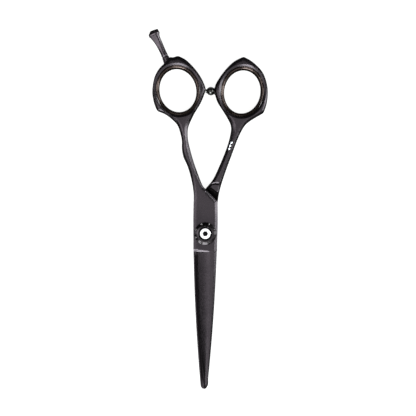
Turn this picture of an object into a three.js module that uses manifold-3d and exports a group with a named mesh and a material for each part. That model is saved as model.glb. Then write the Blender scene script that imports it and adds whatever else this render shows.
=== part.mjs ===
// Hair cutting shears: 6 inch offset shears with a click dial at the pivot. Millimetres, +Z up.
//
// The shears lie closed on a table, z = 0. The pivot axis is the Z axis, the blades point along -Y and
// the finger rings along +Y. The finger half (left ring) has the upper plate and blade, the thumb half
// (right ring) the lower ones. Turned over about the Y axis, one half has the layout of the other.

import * as THREE from "three";
import { mergeVertices } from "three/addons/utils/BufferGeometryUtils.js";
import Module from "manifold-3d";

// ---------------------------------------------------------------- driving dimensions

// Heights
const STACK = 6; // full thickness, at the rings
const PLATE = 2.25; // each half's thickness at the pivot
const PLATE_GAP = 0.1; // air between the two plates
const UPPER_Z = STACK / 2 + PLATE_GAP / 2; // underside of the finger half's plate
const LOWER_Z = STACK / 2 - PLATE_GAP / 2; // top of the thumb half's plate
const PLATE_TOP = UPPER_Z + PLATE;
const PLATE_BOTTOM = LOWER_Z - PLATE;
const SWELL_START = 20; // from the pivot to where the shanks start to thicken
const SWELL_END = 46; // from the pivot to where they are full thickness

// Blades
const BLADE_END = 70; // from the pivot to where the rounded tip starts
const TIP_END = 71.3; // from the pivot to the very tip
const LEDGE = 8.3; // from the pivot to where the grind starts
const HALF_WIDTH = 5.5; // of the closed pair, at the pivot
const BLADE_LEAN = 0.6; // sideways drift of the closed pair's middle, at the tip
const EDGE_LAP = 1.35; // how far a cutting edge lies inside the other blade's spine
const TIP_THICKNESS = 1.0;
const EDGE_BREAK_WIDTH = 1.3; // sloping face along each long edge of a plate
const EDGE_BREAK_DROP = 0.75;
const BULGE = 0.2; // how far the convex grind stands proud of a flat one
const BEVEL = 0.42; // width and height of the honed bevel along the cutting edge

// Rings and rubber inserts
const RUBBER = 1.55; // radial width of an insert
const INSERT_FIT = 0.08; // gap between an insert and its ring
const INSERT_SINK = 0.45; // how far an insert lies below the ring's faces
const FINGER_HOLE = { x: -12.55, y: 65.45, rx: 8.4, ry: 10.0, turn: 12 };
const THUMB_HOLE = { x: 16.95, y: 64.85, rx: 8.3, ry: 10.0, turn: -9.4 };

// Pivot
const SHAFT_R = 2.0;
const FLAT_HALF = 1.6; // half the width across the screw's flats
const THREAD_R = 1.6;
const SCREW_HEAD_R = 4.0;
const SCREW_HEAD_H = 0.5;
const RUN = 0.06; // radial clearance of a running fit
const BUSHING_R = 2.6;
const WASHER_R = 4.2;
const DIAL_R = 5.15;
const DIAL_Z = 5.57;
const DIAL_H = 1.78;
const DIMPLES = 8;
const DIMPLE_R = 0.42;
const DIMPLE_CIRCLE_R = 4.4;
const CAP_R = 2.45;
const THREAD_SHOULDER_Z = 6.25; // where the screw's flats end and its thread starts
const THREAD_TOP_Z = 6.85;
const RECESS_TOP_Z = 6.35; // ceiling of the space under the dial
const RECESS_R = 4.0;

// Bumper, finger rest and crystals
const BUMPER = { x: 2.55, y: 65.2, z: STACK / 2, r: 2.05 };
const BUMPER_SEAT_X = 4.5; // flat on the thumb ring that the stud screws into
const BUMPER_TIP_X = 0.2;
const BUMPER_NOSE_R = 0.93;
const BUMPER_COLLAR_R = 1.75;
const REST_FOOT = new THREE.Vector3(-17.5, 79.2, STACK / 2);
const REST_DIRECTION = new THREE.Vector3(-0.38, 0.925, 0).normalize();
const REST_STUD_R = 0.9;
const REST_STUD_LENGTH = 2.1;
const CRYSTAL_R = 0.5;
const CRYSTAL_SEATS = [[11.9, 41.5], [11.3, 40.1], [10.8, 38.7]];

const ROUND = 48; // sides of a turned piece
const RING_SIDES = 56; // sides of a finger hole

// ---------------------------------------------------------------- outlines, seen from above

const REST_FLAT = [[-19.0, 77.4], [-16.2, 80.7]]; // edge of the ring that the finger rest stands on

// Each stretch is a smooth curve through its points, and two stretches meet at a corner.
const FINGER_OUTLINE = [
  // ring: top corner to the corner that meets the bumper
  [[-12.5, 81.2], [-8.8, 79.3], [-4.7, 75.2], [-1.8, 71.0], [0, 66.9], [0.1, 65.3]],
  // inner side of the shank, down to the crotch
  [[0.1, 65.3], [-2.0, 60.0], [-5.2, 54.6], [-7.7, 49.1], [-8.1, 45.4], [-7.7, 41.7],
    [-5.8, 34.4], [-3.3, 27.1], [-1.3, 22.1], [0, 20.5]],
  // diagonal edge of the plate
  [[0, 20.5], [5.65, 14.6]],
  // free side of the plate
  [[5.65, 14.6], [5.7, 5.1]],
  [[5.7, 5.1], [5.3, -LEDGE]],
  // ledge at the start of the grind
  [[5.3, -LEDGE], [-5.45, -LEDGE + 0.2]],
  // shank side of the plate, and outer side of the shank
  [[-5.45, -LEDGE + 0.2], [-5.4, 12.0]],
  [[-5.4, 12.0], [-5.35, 18.5], [-6.4, 24.9], [-8.1, 30.7], [-10.0, 35.0], [-10.7, 38.8],
    [-10.8, 43.2], [-12.5, 49.1], [-14.8, 51.9], [-18.1, 54.5], [-22.1, 56.2]],
  // ring: outer side up to the finger rest
  [[-22.1, 56.2], [-23.5, 60.0], [-24.2, 65.0], [-23.3, 71.0], [-21.3, 75.0], [-19.0, 77.4]],
  // flat that the finger rest stands on, then its boss
  REST_FLAT,
  [[-16.2, 80.7], [-14.8, 80.4]],
  [[-14.8, 80.4], [-12.5, 81.2]],
];

const THUMB_OUTLINE = [
  // ring: top corner, then the outer side
  [[17.5, 80.8], [21.6, 78.4], [26.1, 73.8], [28.2, 68.0], [28.5, 62.8], [27.9, 58.7], [26.7, 55.2]],
  // outer side of the shank, and the shank side of the plate
  [[26.7, 55.2], [20.9, 51.8], [17.9, 49.1], [15.0, 43.6], [12.2, 36.2], [9.5, 28.9], [7.1, 21.6],
    [5.9, 16.1], [5.45, 10.0]],
  [[5.45, 10.0], [5.45, -LEDGE + 0.2]],
  // ledge at the start of the grind
  [[5.45, -LEDGE + 0.2], [-5.3, -LEDGE]],
  // free side of the plate
  [[-5.3, -LEDGE], [-5.45, 5.1]],
  [[-5.45, 5.1], [-5.4, 14.6]],
  // diagonal edge of the plate
  [[-5.4, 14.6], [0, 20.5]],
  // inner side of the shank, up to the corner that carries the bumper
  [[0, 20.5], [1.0, 21.6], [3.8, 25.2], [7.2, 32.6], [10.05, 39.9], [11.7, 46.4], [11.6, 49.8],
    [9.9, 53.3], [7.4, 57.3], [5.4, 60.6], [4.1, 64.9]],
  // ring: inner side, back to the top corner
  [[4.1, 64.9], [4.8, 68.3], [8.4, 73.8], [12.9, 78.4], [17.5, 80.8]],
];

// The wall of the lap step crosses the shank on this line: its distance from the pivot, and its bearing.
const STEP_DISTANCE = 18.5;
const STEP_BEARING = THREE.MathUtils.degToRad(37);
const RAMP_LENGTH = 3.3; // sloping facet above the wall
const RAMP_LOW_Z = 4.6;
const RAMP_HIGH_Z = 5.45;

// ---------------------------------------------------------------- shape helpers

const wasm = await Module();
wasm.setup();

// A closed three.js geometry as a manifold-3d solid.
function solid(geometry) {
  const bare = geometry.clone();
  bare.deleteAttribute("normal");
  bare.deleteAttribute("uv");
  const merged = mergeVertices(bare, 1e-4);
  const index = merged.index.array;
  const kept = [];
  for (let i = 0; i < index.length; i += 3) {
    const [a, b, c] = index.slice(i, i + 3);
    if (a !== b && b !== c && c !== a) kept.push(a, b, c);
  }
  const mesh = new wasm.Mesh({
    numProp: 3,
    vertProperties: new Float32Array(merged.attributes.position.array),
    triVerts: new Uint32Array(kept),
  });
  return new wasm.Manifold(mesh);
}

function cut(body, ...tools) {
  return tools.reduce((left, tool) => left.subtract(tool), body);
}

function join(body, ...others) {
  return others.reduce((sum, other) => sum.add(other), body);
}

function geometryOf(body) {
  const mesh = body.getMesh();
  const geometry = new THREE.BufferGeometry();
  geometry.setAttribute("position", new THREE.BufferAttribute(mesh.vertProperties, 3));
  geometry.setIndex(new THREE.BufferAttribute(mesh.triVerts, 1));
  geometry.computeVertexNormals();
  return geometry;
}

function shapeOf(stretches) {
  const shape = new THREE.Shape();
  shape.moveTo(...stretches[0][0]);
  for (const stretch of stretches) {
    const points = stretch.slice(1).map(([x, y]) => new THREE.Vector2(x, y));
    if (points.length === 1) shape.lineTo(points[0].x, points[0].y);
    else shape.splineThru(points);
  }
  return shape;
}

function ellipsePoints(hole, grow) {
  const turn = THREE.MathUtils.degToRad(hole.turn);
  const curve = new THREE.EllipseCurve(
    hole.x, hole.y, hole.rx + grow, hole.ry + grow, 0, 2 * Math.PI, false, turn);
  return curve.getPoints(RING_SIDES).slice(0, RING_SIDES);
}

// A flat shape between two heights, with its edges broken by bevel.
function slab(shape, low, high, bevel, curveSegments) {
  const geometry = new THREE.ExtrudeGeometry(shape, {
    depth: high - low - 2 * bevel,
    bevelEnabled: bevel > 0,
    bevelThickness: bevel,
    bevelSize: bevel,
    bevelOffset: -bevel,
    bevelSegments: 2,
    curveSegments,
  });
  return geometry.translate(0, 0, low + bevel);
}

// A prism whose section is drawn in the plane of a bearing from the pivot (0 is +X) and the Z axis.
function prism(profile, bearing, from, to) {
  const shape = new THREE.Shape(profile.map(([along, z]) => new THREE.Vector2(along, z)));
  const geometry = new THREE.ExtrudeGeometry(shape, { depth: to - from, bevelEnabled: false });
  const along = new THREE.Vector3(Math.cos(bearing), Math.sin(bearing), 0);
  const up = new THREE.Vector3(0, 0, 1);
  const across = new THREE.Vector3().crossVectors(along, up);
  const frame = new THREE.Matrix4().makeBasis(along, up, across);
  return geometry.translate(0, 0, from).applyMatrix4(frame);
}

// A piece turned about the Z axis; the profile is [radius, z] pairs, closed or from axis to axis.
function turned(profile, sides = ROUND) {
  const points = profile.map(([radius, z]) => new THREE.Vector2(radius, z));
  return new THREE.LatheGeometry(points, sides).rotateX(Math.PI / 2);
}

function washer(inner, outer, low, high) {
  return turned([[inner, low], [outer, low], [outer, high], [inner, high], [inner, low]]);
}

function rod(radius, low, high, sides = ROUND) {
  return turned([[0, low], [radius, low], [radius, high], [0, high]], sides);
}

// A skin over a row of sections with the same number of points, closed at both ends.
function loft(sections) {
  const count = sections[0].length;
  const positions = sections.flat().flatMap((point) => point.toArray());
  const index = [];
  for (let s = 0; s + 1 < sections.length; s++) {
    for (let i = 0; i < count; i++) {
      const a = s * count + i;
      const b = s * count + ((i + 1) % count);
      index.push(a, b, b + count, a, b + count, a + count);
    }
  }
  const last = (sections.length - 1) * count;
  for (let i = 1; i + 1 < count; i++) {
    index.push(0, i + 1, i);
    index.push(last, last + i, last + i + 1);
  }
  const geometry = new THREE.BufferGeometry();
  geometry.setAttribute("position", new THREE.Float32BufferAttribute(positions, 3));
  geometry.setIndex(index);
  return geometry;
}

// Half a turn about the Y axis through the middle of the stack: the layout of the other half.
function turnOver(geometry) {
  return geometry.rotateY(Math.PI).translate(0, 0, STACK);
}

// ---------------------------------------------------------------- materials

const standard = (color, metalness, roughness) =>
  new THREE.MeshStandardMaterial({ color, metalness, roughness });
const BLACK_STEEL = standard(0x3a373b, 0.9, 0.34);
const POLISHED_STEEL = standard(0xd8d8dc, 1.0, 0.12);
const SPRING_STEEL = standard(0x8f9196, 1.0, 0.3);
const RUBBER_BLACK = standard(0x1a1718, 0.0, 0.45);
const WHITE_PTFE = standard(0xe6e4df, 0.0, 0.5);
const BRONZE = standard(0x8d6a3c, 0.9, 0.4);
const CRYSTAL = standard(0xf4f6ff, 0.1, 0.05);

const shears = new THREE.Group();

function add(group, name, body, material) {
  const mesh = new THREE.Mesh(geometryOf(body), material);
  mesh.name = name;
  group.add(mesh);
}

// ---------------------------------------------------------------- blades

// Half width and middle of the closed pair, and a blade's thickness, at a share t of its length.
const halfWidth = (t) => HALF_WIDTH - 1.06 * t - 2.91 * t * t;
const thickness = (t) => PLATE + (TIP_THICKNESS - PLATE) * t;
const ridgeShare = (t) => 0.67 - 0.35 * t ** 6;

// One section of the upper blade: from the cutting edge round by the spine, over the ridge and down the
// convex grind to the honed bevel.
function bladeSection(y, t, middle, narrowing) {
  const edge = (middle - halfWidth(t) + EDGE_LAP) * narrowing + middle * (1 - narrowing);
  const spine = (middle + halfWidth(t)) * narrowing + middle * (1 - narrowing);
  const width = spine - edge;
  const ridge = edge + width * ridgeShare(t);
  const bevel = 0.15 * width;
  const top = UPPER_Z + thickness(t) * (0.4 + 0.6 * narrowing);
  const taper = (thickness(t) / PLATE) * narrowing;
  const foot = edge + BEVEL * taper;
  const sole = UPPER_Z + BEVEL * taper;
  const grind = (share) => {
    const straight = sole + (top - sole) * share;
    return [foot + (ridge - foot) * share, straight + 4 * BULGE * taper * share * (1 - share)];
  };
  const section = [
    [edge, UPPER_Z], [spine, UPPER_Z], [spine, top - 0.35 * thickness(t)], [spine - bevel, top],
    [ridge, top], grind(0.67), grind(0.33), grind(0), [edge, UPPER_Z + 0.03],
  ];
  return section.map(([x, z]) => new THREE.Vector3(x, -y, z));
}

// The upper blade from inside the plate to its rounded tip; lean is which way the pair's middle drifts.
function blade(lean) {
  const sections = [bladeSection(LEDGE - 2, LEDGE / BLADE_END, 0, 1)];
  const steps = 14;
  for (let i = 0; i <= steps; i++) {
    const y = LEDGE + ((BLADE_END - LEDGE) * i) / steps;
    sections.push(bladeSection(y, y / BLADE_END, (lean * BLADE_LEAN * y) / BLADE_END, 1));
  }
  const middle = lean * BLADE_LEAN;
  sections.push(bladeSection((BLADE_END + TIP_END) / 2, 1, middle, 0.72));
  sections.push(bladeSection(TIP_END, 1, middle, 0.22));
  return loft(sections);
}

// ---------------------------------------------------------------- the two halves

// Room for the other half's plate: everything above the lower plate, on the pivot's side of the step.
function stepRoom() {
  const reach = 3 * HALF_WIDTH;
  const profile = [
    [-TIP_END, LOWER_Z], [STEP_DISTANCE, LOWER_Z], [STEP_DISTANCE, 2 * STACK], [-TIP_END, 2 * STACK],
  ];
  return prism(profile, Math.PI / 2 - STEP_BEARING, -reach, reach);
}

// The sloping facet that leads from the shank's face down to the step's wall.
function rampRoom() {
  const slope = (RAMP_HIGH_Z - RAMP_LOW_Z) / RAMP_LENGTH;
  const start = STEP_DISTANCE - 1;
  const end = STEP_DISTANCE + 2 * RAMP_LENGTH;
  const height = (distance) => RAMP_LOW_Z + slope * (distance - STEP_DISTANCE);
  const profile = [
    [start, height(start)], [end, height(end)], [end, 2 * STACK], [start, 2 * STACK],
  ];
  return prism(profile, Math.PI / 2 - STEP_BEARING, -12, 3);
}

// Height of the shank's upper face, which swells from the plate's to the ring's.
function shankTop(y) {
  const share = THREE.MathUtils.smoothstep(y, SWELL_START, SWELL_END);
  return PLATE_TOP + (STACK - PLATE_TOP) * share;
}

// The shears' side view: thin at the plates, swelling to full thickness at the rings.
function sideProfile() {
  const far = 2 * SWELL_END;
  const steps = 8;
  const upper = [[-BLADE_END, PLATE_TOP], [far, STACK]];
  for (let i = 0; i <= steps; i++) {
    const y = THREE.MathUtils.lerp(SWELL_START, SWELL_END, i / steps);
    upper.splice(i + 1, 0, [y, shankTop(y)]);
  }
  const lower = upper.map(([y, z]) => [y, z === PLATE_TOP ? PLATE_BOTTOM : STACK - z]).reverse();
  return prism([...upper, ...lower], Math.PI / 2, -far / 2, far / 2);
}

// Ring, shank and plate in one piece, before the lap step is cut.
function handle(outline, hole) {
  const shape = shapeOf(outline);
  shape.holes.push(new THREE.Path(ellipsePoints(hole, RUBBER + INSERT_FIT)));
  return solid(slab(shape, 0, STACK, 0.45, 4)).intersect(solid(sideProfile()));
}

// Room above the sloping face on a long edge of the upper plate: the +X edge (side 1) or -X (side -1).
function edgeBreak(side, toY) {
  const inner = HALF_WIDTH + 0.1 - EDGE_BREAK_WIDTH;
  const outer = HALF_WIDTH + 1;
  const outerZ = PLATE_TOP - (EDGE_BREAK_DROP * (outer - inner)) / EDGE_BREAK_WIDTH;
  const profile = [[inner, PLATE_TOP], [outer, outerZ], [outer, STACK], [inner, STACK]];
  const bearing = side > 0 ? 0 : Math.PI;
  const ends = [side * -toY, side * 2 * LEDGE].sort((a, b) => a - b);
  return prism(profile, bearing, ...ends);
}

const restStud = (radius, into, out) => {
  const along = new THREE.Matrix4().makeRotationFromQuaternion(
    new THREE.Quaternion().setFromUnitVectors(new THREE.Vector3(0, 0, 1), REST_DIRECTION));
  const placed = rod(radius, -into, out, 20).applyMatrix4(along);
  return placed.translate(REST_FOOT.x, REST_FOOT.y, REST_FOOT.z);
};

function fingerBladeHalf() {
  const flats = new THREE.BoxGeometry(2 * (FLAT_HALF + RUN), 3 * SHAFT_R, 3 * STACK);
  const keyhole = solid(rod(SHAFT_R + RUN, -1, 2 * STACK)).intersect(solid(flats));
  const body = cut(
    handle(FINGER_OUTLINE, FINGER_HOLE),
    solid(turnOver(stepRoom())),
    solid(turnOver(rampRoom())),
    solid(edgeBreak(1, 14.2)),
    solid(edgeBreak(-1, 17)),
    solid(restStud(REST_STUD_R + RUN, REST_STUD_LENGTH + 0.2, 2)),
  );
  return cut(join(body, solid(blade(-1))), keyhole);
}

function thumbBladeHalf() {
  const bumperBore = turned([[0, 0], [0.8, 0], [0.8, 2.3], [0, 2.3]], 16)
    .rotateY(Math.PI / 2).translate(BUMPER_SEAT_X - 0.1, BUMPER.y, BUMPER.z);
  const bumperFlat = new THREE.BoxGeometry(4, 12, 3 * STACK)
    .translate(BUMPER_SEAT_X - 2, BUMPER.y, BUMPER.z);
  const seats = CRYSTAL_SEATS.map(([x, y]) =>
    solid(rod(CRYSTAL_R + 0.1, shankTop(y) - 0.5, STACK + 1, 12).translate(x, y, 0)));
  const body = cut(
    handle(THUMB_OUTLINE, THUMB_HOLE),
    solid(stepRoom()),
    solid(rampRoom()),
    solid(turnOver(edgeBreak(1, 14.2))),
    solid(turnOver(edgeBreak(-1, 17))),
    solid(bumperBore),
    solid(bumperFlat),
    ...seats,
  );
  return cut(
    join(body, solid(turnOver(blade(1)))),
    solid(rod(BUSHING_R + RUN, -1, STACK)),
    solid(rod(WASHER_R + RUN, LOWER_Z - 0.35, STACK)),
  );
}

// ---------------------------------------------------------------- pivot, from the table up

function pivotScrew() {
  const shaft = rod(SHAFT_R, 0, THREAD_SHOULDER_Z);
  const flats = new THREE.BoxGeometry(2 * FLAT_HALF, 3 * SHAFT_R, STACK)
    .translate(0, 0, UPPER_Z + STACK / 2);
  const lower = new THREE.BoxGeometry(3 * SHAFT_R, 3 * SHAFT_R, UPPER_Z)
    .translate(0, 0, UPPER_Z / 2);
  const keyed = solid(shaft).intersect(solid(flats).add(solid(lower)));
  const head = turned([
    [0, 0], [SCREW_HEAD_R - 0.25, 0], [SCREW_HEAD_R, 0.2], [SCREW_HEAD_R, SCREW_HEAD_H],
    [0, SCREW_HEAD_H],
  ]);
  const spannerHole = (side) => solid(rod(0.5, -1, 0.35, 16).translate(0, side * 2.6, 0));
  const thread = rod(THREAD_R, THREAD_SHOULDER_Z - 0.5, THREAD_TOP_Z);
  return cut(join(keyed, solid(head), solid(thread)), spannerHole(1), spannerHole(-1));
}

function tensionDial() {
  const top = DIAL_Z + DIAL_H;
  const profile = [
    [THREAD_R + RUN, RECESS_TOP_Z], [RECESS_R, RECESS_TOP_Z], [RECESS_R, DIAL_Z], [DIAL_R - 0.15, DIAL_Z],
    [DIAL_R, DIAL_Z + 0.2], [DIAL_R, top - 0.67], [DIAL_R - 0.12, top - 0.55], [3.95, top - 0.13],
    [3.15, top], [2.95, top - 0.3], [CAP_R + RUN, top - 0.3], [CAP_R + RUN, top - 0.45],
    [THREAD_R + RUN, top - 0.45],
    [THREAD_R + RUN, RECESS_TOP_Z],
  ];
  const dimple = (i) => {
    const angle = ((i + 0.5) * 2 * Math.PI) / DIMPLES;
    const z = top - 0.3;
    return solid(new THREE.SphereGeometry(DIMPLE_R, 10, 8)
      .translate(DIMPLE_CIRCLE_R * Math.cos(angle), DIMPLE_CIRCLE_R * Math.sin(angle), z));
  };
  const dimples = Array.from({ length: DIMPLES }, (_, i) => dimple(i));
  return cut(solid(turned(profile)), ...dimples);
}

// Polished disc that closes the dial's middle, with a plain hexagonal recess.
function dialCap() {
  const top = DIAL_Z + DIAL_H;
  const low = top - 0.42;
  const disc = turned([[0, low], [CAP_R, low], [CAP_R, top - 0.1], [CAP_R - 0.15, top], [0, top]]);
  const recess = rod(1.2, top - 0.25, top + 1, 6);
  return cut(solid(disc), solid(recess));
}

// Leaf spring under the dial: a ring keyed to the screw's flats, with two raised fingers.
function clickSpring() {
  const low = DIAL_Z + 0.02;
  const blank = solid(washer(0.9, 3.7, low, low + 0.25));
  const flats = new THREE.BoxGeometry(2 * (FLAT_HALF + RUN), 3 * SHAFT_R, 3 * STACK);
  const keyhole = solid(rod(SHAFT_R + RUN, -1, 2 * STACK)).intersect(solid(flats));
  const fingerR = 0.34;
  const finger = (side) =>
    solid(new THREE.SphereGeometry(fingerR, 12, 8).translate(side * 3.1, 0, low + fingerR + 0.02));
  return cut(join(blank, finger(1), finger(-1)), keyhole);
}

const dialWasher = () => solid(washer(SHAFT_R + 0.15, RECESS_R + 0.7, PLATE_TOP + 0.02, DIAL_Z - 0.05));
const bladeWasher = () => solid(washer(SHAFT_R + RUN, WASHER_R, LOWER_Z - 0.33, LOWER_Z + 0.03));
const pivotBushing = () =>
  solid(washer(SHAFT_R + RUN, BUSHING_R, PLATE_BOTTOM + 0.02, LOWER_Z - 0.37));
const rearWasher = () =>
  solid(washer(SHAFT_R + RUN, SCREW_HEAD_R - 0.1, SCREW_HEAD_H + 0.02, PLATE_BOTTOM - 0.02));

// ---------------------------------------------------------------- inserts, bumper, rest, crystals

function ringInsert(hole) {
  const outer = new THREE.Shape(ellipsePoints(hole, RUBBER));
  outer.holes.push(new THREE.Path(ellipsePoints(hole, 0)));
  return solid(slab(outer, INSERT_SINK, STACK - INSERT_SINK, 0.5, 1));
}

// Ball with a short nose that meets the finger ring's corner, turned about the X axis.
function bumperPad() {
  const back = 1.6;
  const profile = [[0, back], [1.15, back]];
  const steps = 9;
  for (let i = 0; i < steps; i++) {
    const angle = THREE.MathUtils.lerp(35, 158, i / (steps - 1)) * (Math.PI / 180);
    profile.push([BUMPER.r * Math.sin(angle), BUMPER.r * Math.cos(angle)]);
  }
  profile.push([BUMPER_NOSE_R, BUMPER_TIP_X - BUMPER.x], [0, BUMPER_TIP_X - BUMPER.x]);
  const ball = turned(profile.reverse(), 28).rotateY(Math.PI / 2);
  const pinRoom = rod(0.78, -0.9, 3, 16).rotateY(Math.PI / 2);
  const place = (geometry) => solid(geometry.translate(BUMPER.x, BUMPER.y, BUMPER.z));
  return cut(place(ball), place(pinRoom));
}

// Metal collar and threaded pin that hold the bumper on the thumb ring.
function bumperStud() {
  const seat = BUMPER_SEAT_X - BUMPER.x;
  const collar = turned([
    [0, seat - 0.3], [BUMPER_COLLAR_R, seat - 0.3], [BUMPER_COLLAR_R, seat - 0.03], [0, seat - 0.03],
  ], 28);
  const pin = rod(0.7, -0.8, seat + 2.0, 16);
  const place = (geometry) =>
    solid(geometry.rotateY(Math.PI / 2).translate(BUMPER.x, BUMPER.y, BUMPER.z));
  return join(place(collar), place(pin));
}

// Everything on the ring's side of the flat that the finger rest stands on.
function ringSideOfRestFlat() {
  const [[x0, y0], [x1, y1]] = REST_FLAT;
  const bearing = Math.atan2(y1 - y0, x1 - x0);
  const size = 12;
  return new THREE.BoxGeometry(size, size, size)
    .translate(0, -size / 2 + 0.1, 0).rotateZ(bearing)
    .translate((x0 + x1) / 2, (y0 + y1) / 2, STACK / 2);
}

// The finger rest: round at its foot, waisted, then flared to a flat end, along a curved middle line.
function fingerRest() {
  const line = new THREE.CatmullRomCurve3([
    REST_FOOT.clone().addScaledVector(REST_DIRECTION, -1.5), new THREE.Vector3(-19.7, 83.9, STACK / 2),
    new THREE.Vector3(-21.3, 87.2, STACK / 2), new THREE.Vector3(-23.3, 91.0, STACK / 2),
    new THREE.Vector3(-24.0, 92.9, STACK / 2),
  ]);
  const radii = new THREE.SplineCurve([
    new THREE.Vector2(0, 1.95), new THREE.Vector2(0.15, 1.62), new THREE.Vector2(0.35, 1.42),
    new THREE.Vector2(0.6, 1.6), new THREE.Vector2(0.85, 2.15), new THREE.Vector2(1, 2.6),
  ]);
  const sections = [];
  const steps = 12;
  const sides = 16;
  for (let i = 0; i <= steps; i++) {
    const centre = line.getPointAt(i / steps);
    const tangent = line.getTangentAt(i / steps);
    const across = new THREE.Vector3(tangent.y, -tangent.x, 0);
    const radius = radii.getPoint(i / steps).y;
    const section = [];
    for (let k = 0; k < sides; k++) {
      const angle = (2 * Math.PI * k) / sides;
      section.push(centre.clone().addScaledVector(across, radius * Math.cos(angle))
        .add(new THREE.Vector3(0, 0, 0.92 * radius * Math.sin(angle))));
    }
    sections.push(section.reverse());
  }
  const trimmed = cut(solid(loft(sections)), solid(ringSideOfRestFlat()));
  return join(trimmed, solid(restStud(REST_STUD_R, REST_STUD_LENGTH, 1.5)));
}

function crystal([x, y]) {
  const seat = shankTop(y) - 0.48;
  const profile = [[0, seat], [0.3, seat], [CRYSTAL_R, seat + 0.4], [0.3, seat + 0.6], [0, seat + 0.6]];
  return solid(turned(profile, 12).translate(x, y, 0));
}

// ---------------------------------------------------------------- assembly

const fingerHalf = new THREE.Group();
add(fingerHalf, "finger_blade_half", fingerBladeHalf(), BLACK_STEEL);
add(fingerHalf, "finger_rest", fingerRest(), BLACK_STEEL);
add(fingerHalf, "finger_ring_insert", ringInsert(FINGER_HOLE), RUBBER_BLACK);
add(fingerHalf, "pivot_screw", pivotScrew(), BLACK_STEEL);
add(fingerHalf, "dial_washer", dialWasher(), WHITE_PTFE);
add(fingerHalf, "click_spring", clickSpring(), SPRING_STEEL);

const dial = new THREE.Group();
add(dial, "tension_dial", tensionDial(), BLACK_STEEL);
add(dial, "dial_cap", dialCap(), POLISHED_STEEL);

const thumbHalf = new THREE.Group();
add(thumbHalf, "thumb_blade_half", thumbBladeHalf(), BLACK_STEEL);
add(thumbHalf, "thumb_ring_insert", ringInsert(THUMB_HOLE), RUBBER_BLACK);
add(thumbHalf, "pivot_bushing", pivotBushing(), BRONZE);
add(thumbHalf, "blade_washer", bladeWasher(), WHITE_PTFE);
add(thumbHalf, "rear_washer", rearWasher(), WHITE_PTFE);
add(thumbHalf, "bumper_pad", bumperPad(), RUBBER_BLACK);
add(thumbHalf, "bumper_stud", bumperStud(), BLACK_STEEL);
CRYSTAL_SEATS.forEach((seat, i) => add(thumbHalf, `shank_crystal_${i + 1}`, crystal(seat), CRYSTAL));

shears.add(fingerHalf, dial, thumbHalf);
export default shears;
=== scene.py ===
"""Hair cutting shears: fine meshes and materials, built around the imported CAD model.

Plan shapes are read from the frame by slicing the CAD halves, so both agree. Lengths here are in
millimetres, in the model's frame: +Y towards the rings, +Z up, the pivot on the Z axis. A half is built
face up in the finger half's layout. The thumb half is the same layout turned over about the Y axis.
"""

import math

import bpy
import numpy as np
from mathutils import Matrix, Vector
from mathutils.geometry import delaunay_2d_cdt
from mathutils.kdtree import KDTree


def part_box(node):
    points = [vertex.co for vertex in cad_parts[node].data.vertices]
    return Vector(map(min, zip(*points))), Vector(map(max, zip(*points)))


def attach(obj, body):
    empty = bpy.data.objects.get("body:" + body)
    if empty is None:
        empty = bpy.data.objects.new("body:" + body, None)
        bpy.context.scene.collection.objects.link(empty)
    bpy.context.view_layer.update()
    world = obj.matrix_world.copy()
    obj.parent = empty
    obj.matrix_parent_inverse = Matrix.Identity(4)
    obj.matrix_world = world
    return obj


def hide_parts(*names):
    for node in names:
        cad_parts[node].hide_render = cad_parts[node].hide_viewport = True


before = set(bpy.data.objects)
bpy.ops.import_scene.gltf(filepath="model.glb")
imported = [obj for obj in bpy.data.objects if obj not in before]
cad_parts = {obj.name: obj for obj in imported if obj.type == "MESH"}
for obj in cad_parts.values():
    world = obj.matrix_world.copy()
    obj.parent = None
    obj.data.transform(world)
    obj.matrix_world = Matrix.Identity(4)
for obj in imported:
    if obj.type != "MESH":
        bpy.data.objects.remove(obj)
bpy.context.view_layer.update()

MM = 0.001

# ---- sizes

STACK = 6.0  # full thickness, at the rings
PLATE_TOP = 5.3
UPPER_Z = 3.05  # inner face of the upper half
PLATE_THICKNESS = PLATE_TOP - UPPER_Z
SWELL_START, SWELL_END = 20.0, 46.0  # the shanks thicken between these distances from the pivot

LEDGE = 8.3  # distance of the blade's start from the pivot
LIP, LIP_SLANT = 7.05, 0.124  # the ledge's upper line: distance at the shank side, and slant
LIP_TILT, WALL_TILT = 0.45, 1.7  # slopes of the ledge's polished face and of the wall below it
BLADE_END = 70.0
BLADE_WIDTH = 9.3  # of the widest part; the chamfer along the spine is shallower where it is narrower
TIP_THICKNESS = 1.0
TIP_RUN = 3.0  # the tip's upper edges are rounded over this length
TIP_ROUND_WIDTH, TIP_ROUND_DROP = 0.8, 0.5
BAND_SHARE = 0.145  # width of the chamfer along the spine, as a share of the blade's width
RIDGE_SHARE, RIDGE_LEAN = 0.67, 0.35  # where the ridge lies from edge to spine, and its lean at the tip
ROUNDING = 0.5  # how far the convex grind goes from a flat one towards one that is flush at the ridge
BEVEL_WIDTH, BEVEL_HEIGHT = 0.42, 0.52  # the honed bevel along the cutting edge
RIDE_LINE = 0.75  # width of the honed band along the cutting edge, on the inner face
SPINE_LAND = 0.45  # width of the flat band along the spine, on the inner face
INNER_HOLLOW = 0.12
HOLLOW_EDGE = 0.12  # width of the hollow's slope beside the band along the spine

DIAGONAL = np.array([[0.0, 20.5], [5.65, 14.6]])  # edge of each plate, beside the other half's step
STEP_DISTANCE = 18.5  # from the pivot to the step's wall
STEP_COS, STEP_SIN = math.cos(math.radians(37)), math.sin(math.radians(37))  # bearing of the wall
STEP_MIDDLE = 7.2  # middle of the shank, along the step's wall
RAMP_START, RAMP_END = 21.5, 23.1  # the ramp ends in a wall and a slope between these distances
RAMP_HEIGHT = 2.0  # in the upper half's layout
RAMP_WALL, RAMP_SLOPE = 1.15, 0.42  # how steep they are
RAMP_BOW = 0.15  # how far the wall is arched, for each square millimetre from the shank's middle

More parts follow.
